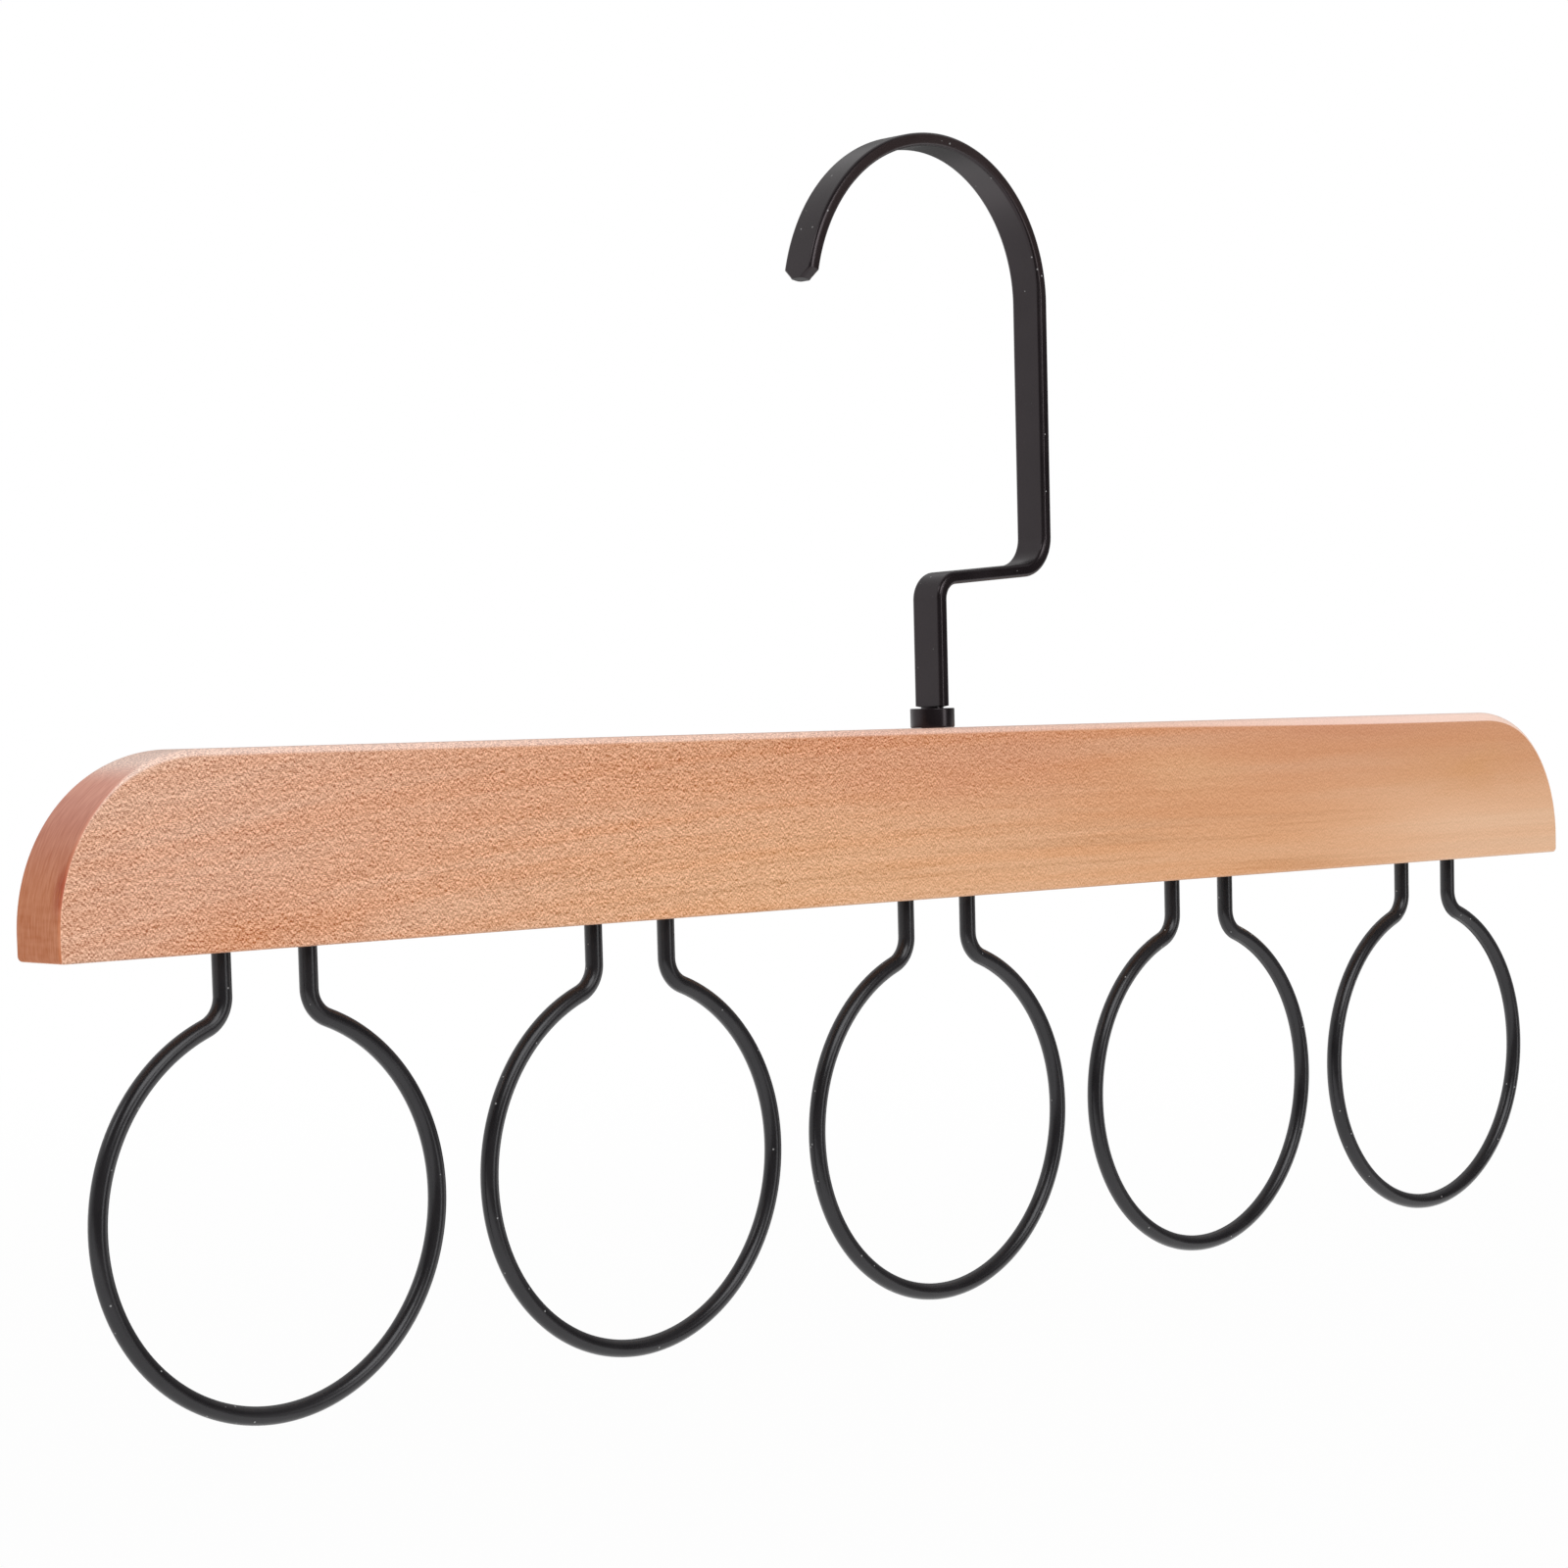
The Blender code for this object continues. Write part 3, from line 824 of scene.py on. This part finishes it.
def keep_flat(piece):
    """Keeps the big flat faces flat in the light, and leaves all the turning to the edges."""
    weighted = piece.modifiers.new("flat faces", "WEIGHTED_NORMAL")
    weighted.keep_sharp = True


print("corners sharper than", round(math.degrees(SHARP)), "degrees stay sharp")

# %% [markdown]
# ## The bar
# The bar is cut from a board 13 mm thick. Seen from the front its underside is straight, its
# foot corners are just rounded, and each end sweeps up in a quarter of an ellipse. Its long
# edges are eased: hardly at all below, where the edge stays crisp, and softly on top. A Bevel
# modifier has one width for all, so the outline is lofted through the thickness with an edge
# radius that grows towards the top. A Weighted Normal modifier then keeps the big flat faces
# flat in the light.

# %% Bar
END_RUN = 27.5 * MM
END_STAND = 4 * MM
FOOT_RADIUS = 1 * MM
SIDE_EDGE_RADIUS = 0.6 * MM
TOP_EDGE_RADIUS = 2 * MM
EDGE_GROWTH = 8
FOOT_STEPS = 8
END_STEPS = 56
EDGE_STEPS = 10


def bar_end_outline():
    """The right half of the side view, upwards, as place, outward normal and edge radius."""
    outline = []
    foot = Vector((bar_high.x - FOOT_RADIUS, bar_low.z + FOOT_RADIUS))
    for step in range(FOOT_STEPS + 1):
        angle = QUARTER * (step / FOOT_STEPS - 1)
        normal = Vector((math.cos(angle), math.sin(angle)))
        outline.append((foot + normal * FOOT_RADIUS, normal, SIDE_EDGE_RADIUS))
    rise = bar_height - END_STAND
    centre = Vector((bar_high.x - END_RUN, bar_low.z + END_STAND))
    extra = TOP_EDGE_RADIUS - SIDE_EDGE_RADIUS
    for step in range(END_STEPS + 1):
        angle = QUARTER * step / END_STEPS
        place = Vector((END_RUN * math.cos(angle), rise * math.sin(angle)))
        normal = Vector((rise * math.cos(angle), END_RUN * math.sin(angle))).normalized()
        edge_radius = SIDE_EDGE_RADIUS + extra * math.sin(angle) ** EDGE_GROWTH
        outline.append((centre + place, normal, edge_radius))
    return outline


def bar_mesh():
    """The whole outline at each step through the thickness, drawn in at both edges."""
    right_half = bar_end_outline()
    flip = Vector((-1, 1))
    left_half = [(place * flip, normal * flip, r) for place, normal, r in reversed(right_half)]
    loops = []
    for side in (-1, 1):
        steps = range(EDGE_STEPS + 1)
        for step in steps if side < 0 else reversed(steps):
            angle = QUARTER * step / EDGE_STEPS
            loop = []
            for place, normal, radius in right_half + left_half:
                x, z = place - normal * radius * (1 - math.sin(angle))
                y = side * (bar_thickness / 2 - radius * (1 - math.cos(angle)))
                loop.append((x, y, z))
            loops.append(loop)
    return loft("bar", loops)


keep_flat(add_piece("bar", bar_mesh(), wood, "bar", "bar_wood", "wooden_bar"))

# %% [markdown]
# ## The hook
# The hook starts as a round rod. Its lower end stays round and becomes the spigot that turns
# in the bar, and the rest is rolled flat and then bent over its flat side: up, out along a
# slightly rising arm, up the long leg, and over in a wide crown that opens out a little
# towards its tip. A route of places and directions describes those bends, and a rounded
# rectangle is carried along it. Where the rectangle's half sizes equal its corner radius it
# is a circle, so spigot and strip are one loft.

# %% Hook route
STRIP_WIDTH = 7.5 * MM
STRIP_THICKNESS = 2.5 * MM
STRIP_EDGE_RADIUS = 0.8 * MM
CROWN_LEG_RADIUS = 29 * MM
CROWN_TIP_RADIUS = 34 * MM
CROWN_SWEEP = math.radians(170.5)
LONG_LEG_HEIGHT = 52.3 * MM
LONG_LEG_BEND = 6.8 * MM
ARM_OFFSET = 30.1 * MM
ARM_RISE = math.radians(4.5)
STEM_BEND = 4.3 * MM
NECK_HEIGHT = 0.45 * MM
SHOULDER_HEIGHT = 0.2 * MM
CLIP_LENGTH = 1.8 * MM
CLIP_WIDTH = 2.1 * MM
TIP_ROUND = 0.4 * MM
SPIGOT_RADIUS = 2.2 * MM
HEAD_RADIUS = 2.9 * MM
HEAD_HEIGHT = 1.4 * MM
HEAD_EDGE = 0.4 * MM
CORNER_STEPS = 8
BEND_STEPS = 24
CROWN_STEPS = 60

crown_top = Vector((ARM_OFFSET - CROWN_LEG_RADIUS, hook_high.z - STRIP_THICKNESS / 2))
foot_z = swivel.z + NECK_HEIGHT
head_z = hook_low.z


def bend(corner, before, after, radius, steps):
    """Places and directions round the bend that joins two straight runs meeting at a corner."""
    turn = before.angle_signed(after)
    inner = Vector((-before.y, before.x)) * -math.copysign(1, turn)
    centre = corner - before * radius * math.tan(abs(turn) / 2) + inner * radius
    stations = []
    for step in range(steps + 1):
        rotation = Matrix.Rotation(-turn * step / steps, 2)
        stations.append((centre - rotation @ inner * radius, rotation @ before))
    return stations


def hook_stations():
    """Place, direction and section along the rod, from its peened end to its tip."""
    upward = Vector((0, 1))
    strip = (STRIP_WIDTH / 2, STRIP_THICKNESS / 2, STRIP_EDGE_RADIUS)
    radii = (SPIGOT_RADIUS, HEAD_RADIUS, HEAD_RADIUS - HEAD_EDGE)
    spigot, head, head_face = [(radius,) * 3 for radius in radii]
    stations = [
        (Vector((0, head_z)), upward, head_face),
        (Vector((0, head_z + HEAD_EDGE)), upward, head),
        (Vector((0, head_z + HEAD_HEIGHT)), upward, head),
        (Vector((0, head_z + HEAD_HEIGHT)), upward, spigot),
        (Vector((0, foot_z - SHOULDER_HEIGHT)), upward, spigot),
        (Vector((0, foot_z)), upward, strip),
    ]
    along_arm = Vector((math.cos(ARM_RISE), math.sin(ARM_RISE)))
    arm_end = Vector((ARM_OFFSET, crown_top.y - CROWN_LEG_RADIUS - LONG_LEG_HEIGHT))
    arm_start = Vector((0, arm_end.y - ARM_OFFSET * math.tan(ARM_RISE)))
    route = bend(arm_start, upward, along_arm, STEM_BEND, BEND_STEPS)
    route += bend(arm_end, along_arm, upward, LONG_LEG_BEND, BEND_STEPS)

    clip_start = CROWN_SWEEP - CLIP_LENGTH / CROWN_TIP_RADIUS
    round_start = CROWN_SWEEP - TIP_ROUND / CROWN_TIP_RADIUS
    to_top = [QUARTER * step / CROWN_STEPS for step in range(CROWN_STEPS + 1)]
    tip_step = (clip_start - QUARTER) / CROWN_STEPS
    to_clip = [QUARTER + tip_step * step for step in range(1, CROWN_STEPS + 1)]
    for angle in to_top + to_clip + [round_start, CROWN_SWEEP]:
        radius = CROWN_LEG_RADIUS if angle <= QUARTER else CROWN_TIP_RADIUS
        outward = Vector((math.cos(angle), math.sin(angle)))
        place = crown_top + radius * (outward - upward)
        route.append((place, Vector((-outward.y, outward.x))))

    half_width, half_thickness, corner = strip
    clipped = (half_width - CLIP_WIDTH + TIP_ROUND, half_thickness, corner)
    tip = (half_width - CLIP_WIDTH, half_thickness, corner)
    sections = [strip] * (len(route) - 2) + [clipped, tip]
    stations += [(place, direction, s) for (place, direction), s in zip(route, sections)]
    return stations


# %% Hook mesh
WELD = 0.001 * MM


def hook_mesh():
    """The rounded rectangle carried along the route, with points that coincide welded."""
    loops = []
    for place, direction, (half_width, half_thickness, corner) in hook_stations():
        side = Vector((direction.y, -direction.x))
        loop = []
        for quadrant in range(4):
            across = 1 if quadrant in (0, 3) else -1
            through = 1 if quadrant in (0, 1) else -1
            for step in range(CORNER_STEPS + 1):
                angle = QUARTER * (quadrant + step / CORNER_STEPS)
                y = across * (half_width - corner) + corner * math.cos(angle)
                depth = through * (half_thickness - corner) + corner * math.sin(angle)
                x, z = place + side * depth
                loop.append((x, y, z))
        loops.append(loop)
    mesh = loft("hook", loops)
    work = bmesh.new()
    work.from_mesh(mesh)
    bmesh.ops.remove_doubles(work, verts=work.verts, dist=WELD)
    work.to_mesh(mesh)
    work.free()
    return mesh


keep_flat(add_piece("hook_strip", hook_mesh(), coat, "hook", "black_steel", "hook"))
print("crown top", [round(part / MM, 2) for part in crown_top])

# %% [markdown]
# ## The collar
# A short turned collar hides the hole in the bar and keeps the hook's shoulder off the wood.
# Turned work is a profile spun round an axis, so its loops are copies of one profile at each
# step of the turn. A bevelled cylinder would do as well, but a profile says outright how much
# each edge is eased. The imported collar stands 0.3 mm clear of the wood, and here its foot
# reaches down through most of that, so that no slit of light shows under it.

# %% Collar
COLLAR_FOOT_RADIUS = 0.3 * MM
COLLAR_REACH = 0.25 * MM
COLLAR_TOP_RADIUS = 0.2 * MM
BORE_RADIUS = 2.5 * MM
TURNED_STEPS = 96


def turned(name, profile):
    """A closed profile of (radius, height) points spun round the swivel axis."""
    loops = []
    for step in range(TURNED_STEPS):
        angle = FULL_TURN * step / TURNED_STEPS
        loops.append([(r * math.cos(angle), r * math.sin(angle), z) for r, z in profile])
    return loft(name, loops, closed=True)


def collar_profile():
    """The collar's cut side, from the foot of the bore out and up to the top of the bore."""
    radius = collar_high.x
    underside = collar_low.z - COLLAR_REACH
    foot = (radius - COLLAR_FOOT_RADIUS, underside + COLLAR_FOOT_RADIUS)
    top = (radius - COLLAR_TOP_RADIUS, collar_high.z - COLLAR_TOP_RADIUS)
    profile = [(BORE_RADIUS, underside)]
    profile += arc(foot, COLLAR_FOOT_RADIUS, -QUARTER, 0, EDGE_STEPS)
    profile += arc(top, COLLAR_TOP_RADIUS, 0, QUARTER, EDGE_STEPS)
    return profile + [(BORE_RADIUS, collar_high.z)]


collar = turned("collar", collar_profile())
add_piece("collar", collar, coat, "bar", "black_collar", "swivel_collar")

# %% [markdown]
# ## The rings
# Each ring is one length of 3.2 mm wire. Its two legs stand side by side in the bar, a reverse
# bend turns each one outwards, and the bends run into the ring where the two circles touch,
# so the wire never shows a kink. The meeting point lies on the line between the two centres,
# which gives its angle with no guessing. A curve with a round bevel would give the same wire,
# but lofting it keeps one way of making every mesh here.

# %% Rings
RING_NAMES = [name for name in sorted(frame["nodes"]) if name.startswith("ring_")]
LEG_SPACING = 17.1 * MM
LEG_DROP = 7.4 * MM
LEG_EMBED = 12 * MM
NECK_BEND = 5.5 * MM
NECK_STEPS = 16
RING_STEPS = 80
WIRE_SIDES = 28

first_low, first_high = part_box(RING_NAMES[0])
wire_radius = (first_high.y - first_low.y) / 2
ring_radius = (first_high.x - first_low.x) / 2 - wire_radius


def ring_route():
    """The wire's middle line from leg top to leg top, with the bar's underside at 0."""
    leg_x = LEG_SPACING / 2
    bend_centre = Vector((leg_x + NECK_BEND, -LEG_DROP))
    reach = ring_radius + NECK_BEND
    ring_centre = Vector((0, -LEG_DROP - math.sqrt(reach**2 - bend_centre.x**2)))
    meeting = math.atan2(bend_centre.y - ring_centre.y, bend_centre.x)
    neck = arc(bend_centre, NECK_BEND, 2 * QUARTER, 2 * QUARTER + meeting, NECK_STEPS)
    round_part = arc(ring_centre, ring_radius, meeting, -QUARTER, RING_STEPS)
    right_half = [(leg_x, LEG_EMBED)] + neck + round_part[1:]
    return [(-x, z) for x, z in right_half] + right_half[-2::-1]


def ring_mesh():
    """Round wire along the whole route, square to it at each point."""
    route = [Vector(point) for point in ring_route()]
    loops = []
    for number, place in enumerate(route):
        before = route[max(number - 1, 0)]
        after = route[min(number + 1, len(route) - 1)]
        direction = (after - before).normalized()
        side = Vector((direction.y, -direction.x))
        loop = []
        for step in range(WIRE_SIDES):
            angle = FULL_TURN * step / WIRE_SIDES
            x, z = place + side * wire_radius * math.cos(angle)
            loop.append((x, wire_radius * math.sin(angle), z))
        loops.append(loop)
    return loft("ring", loops)


shared_ring = ring_mesh()
for name in RING_NAMES:
    low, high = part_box(name)
    mesh = shared_ring.copy()
    mesh.transform(Matrix.Translation(((low.x + high.x) / 2, 0, bar_low.z)))
    number = name.rsplit("_", 1)[1]
    add_piece(f"wire_ring_{number}", mesh, wire_coat, "bar", "black_wire", name)

# %% [markdown]
# ## The pieces inside the bar
# The insert that lines the hole and the washer that holds the spigot's head never show. Their
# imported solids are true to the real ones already, so they stay, and only take the look of
# turned steel. A lathe tool leaves rings round the axis, and noise squeezed thin along the
# axis gives them without any pattern to repeat.

# %% Insert and washer
STEEL_DARK = paint(176, 176, 178)
STEEL_LIGHT = paint(202, 202, 204)
STEEL_ROUGHNESS = 0.30
TURNING_SIZE = (0.004, 0.004, 0.00015)
TURNING_ROUGHNESS = 0.2
TURNING_DEPTH = 0.00001


def turned_steel():
    """Bare steel with fine turning marks round the upright axis."""
    finish = Finish(bpy.data.materials.new("plain_steel"))
    turning = finish.noise(TURNING_SIZE, detail=2.0)
    clouds = finish.noise(CLOUD_SIZE)
    return finish.principled(
        {
            "Base Color": finish.blend(clouds, STEEL_DARK, STEEL_LIGHT),
            "Metallic": 1.0,
            "Roughness": STEEL_ROUGHNESS + TURNING_ROUGHNESS * turning.centred(),
            "Normal": finish.bump(turning, TURNING_DEPTH),
        }
    )


steel = turned_steel()
for name in ("threaded_insert", "retaining_washer"):
    inner = frame["nodes"][name]
    inner.data.materials.clear()
    inner.data.materials.append(steel)
    print(name, "keeps its", len(inner.data.polygons), "faces")

# %% [markdown]
# ## Colour handling
# The Standard view shows each colour as it is written, with no film look on top.

# %% Finish
bpy.context.scene.view_settings.view_transform = "Standard"
bpy.context.view_layer.update()
